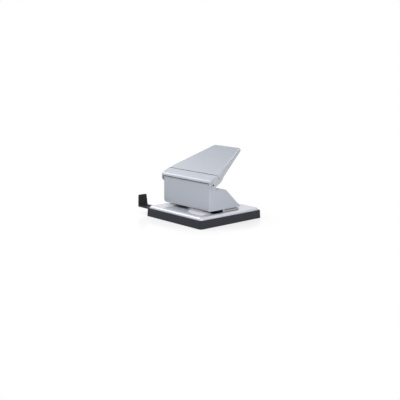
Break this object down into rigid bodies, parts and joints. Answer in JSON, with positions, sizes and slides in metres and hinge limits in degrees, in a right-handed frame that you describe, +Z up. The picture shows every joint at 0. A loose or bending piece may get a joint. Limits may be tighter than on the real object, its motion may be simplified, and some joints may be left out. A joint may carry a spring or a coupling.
{
  "type": "two-hole punch",
  "caption": "Desk hole punch for paper: sheet-metal lever and housing on a square base with a chip tray, spring-return punches and a sliding paper guide.",
  "frame": {"origin": "middle of the chip tray's underside, on the desk", "axes": "+X to the right along the front panel, +Y to the rear, +Z up"},
  "size_m": [0.1602, 0.133, 0.1118],
  "materials": {
    "silver_paint": "satin metallic silver paint",
    "charcoal_plastic": "fine moulded grain",
    "black_plastic": "fine moulded grain",
    "steel": "turned steel",
    "black_steel": "blackened steel, bare on its cut ends"
  },
  "bodies": {
    "tray": {"chip_tray": "charcoal_plastic", "tray_hinge_pins": "steel"},
    "machine": {"base_plate": "silver_paint", "die_insert_left": "black_steel", "die_insert_right": "black_steel", "punch_frame": "black_steel", "frame_screws": "steel", "guide_block_left": "black_plastic", "guide_block_right": "black_plastic", "block_screws": "steel", "housing": "silver_paint", "top_cover": "silver_paint", "cover_screws": "steel", "pivot_axle": "black_steel", "punch_bushes": "steel", "punch_spring_left": "steel", "punch_spring_right": "steel", "guide_rivets": "steel", "guide_washers": "steel"},
    "lever": {"lever": "silver_paint", "nose_cover": "silver_paint", "press_axle": "steel"},
    "punches": {"punch_left": "steel", "punch_right": "steel", "punch_clips": "black_steel"},
    "guide": {"paper_guide": "black_plastic"}
  },
  "joints": [
    {"name": "tray_hinge", "type": "hinge", "parent": "tray", "child": "machine", "pos_m": [0, 0.0633, 0.0127], "axis": [-1, 0, 0], "range_deg": [0, 60]},
    {"name": "lever_press", "type": "hinge", "parent": "machine", "child": "lever", "pos_m": [0, -0.034, 0.063], "axis": [-1, 0, 0], "range_deg": [0, 28], "stiffness_Nm_per_rad": 0.9, "springref_deg": -20.05},
    {"name": "punch_slide", "type": "slide", "parent": "machine", "child": "punches", "axis": [0, 0, -1], "range_m": [0, 0.00715], "deforming": ["punch_spring_left", "punch_spring_right"]},
    {"name": "guide_slide", "type": "slide", "parent": "machine", "child": "guide", "axis": [-1, 0, 0], "range_m": [-0.0247, 0.057]}
  ],
  "couplings": [
    {"joint": "punch_slide", "follows": "lever_press", "m_per_rad": 0.014637}
  ]
}
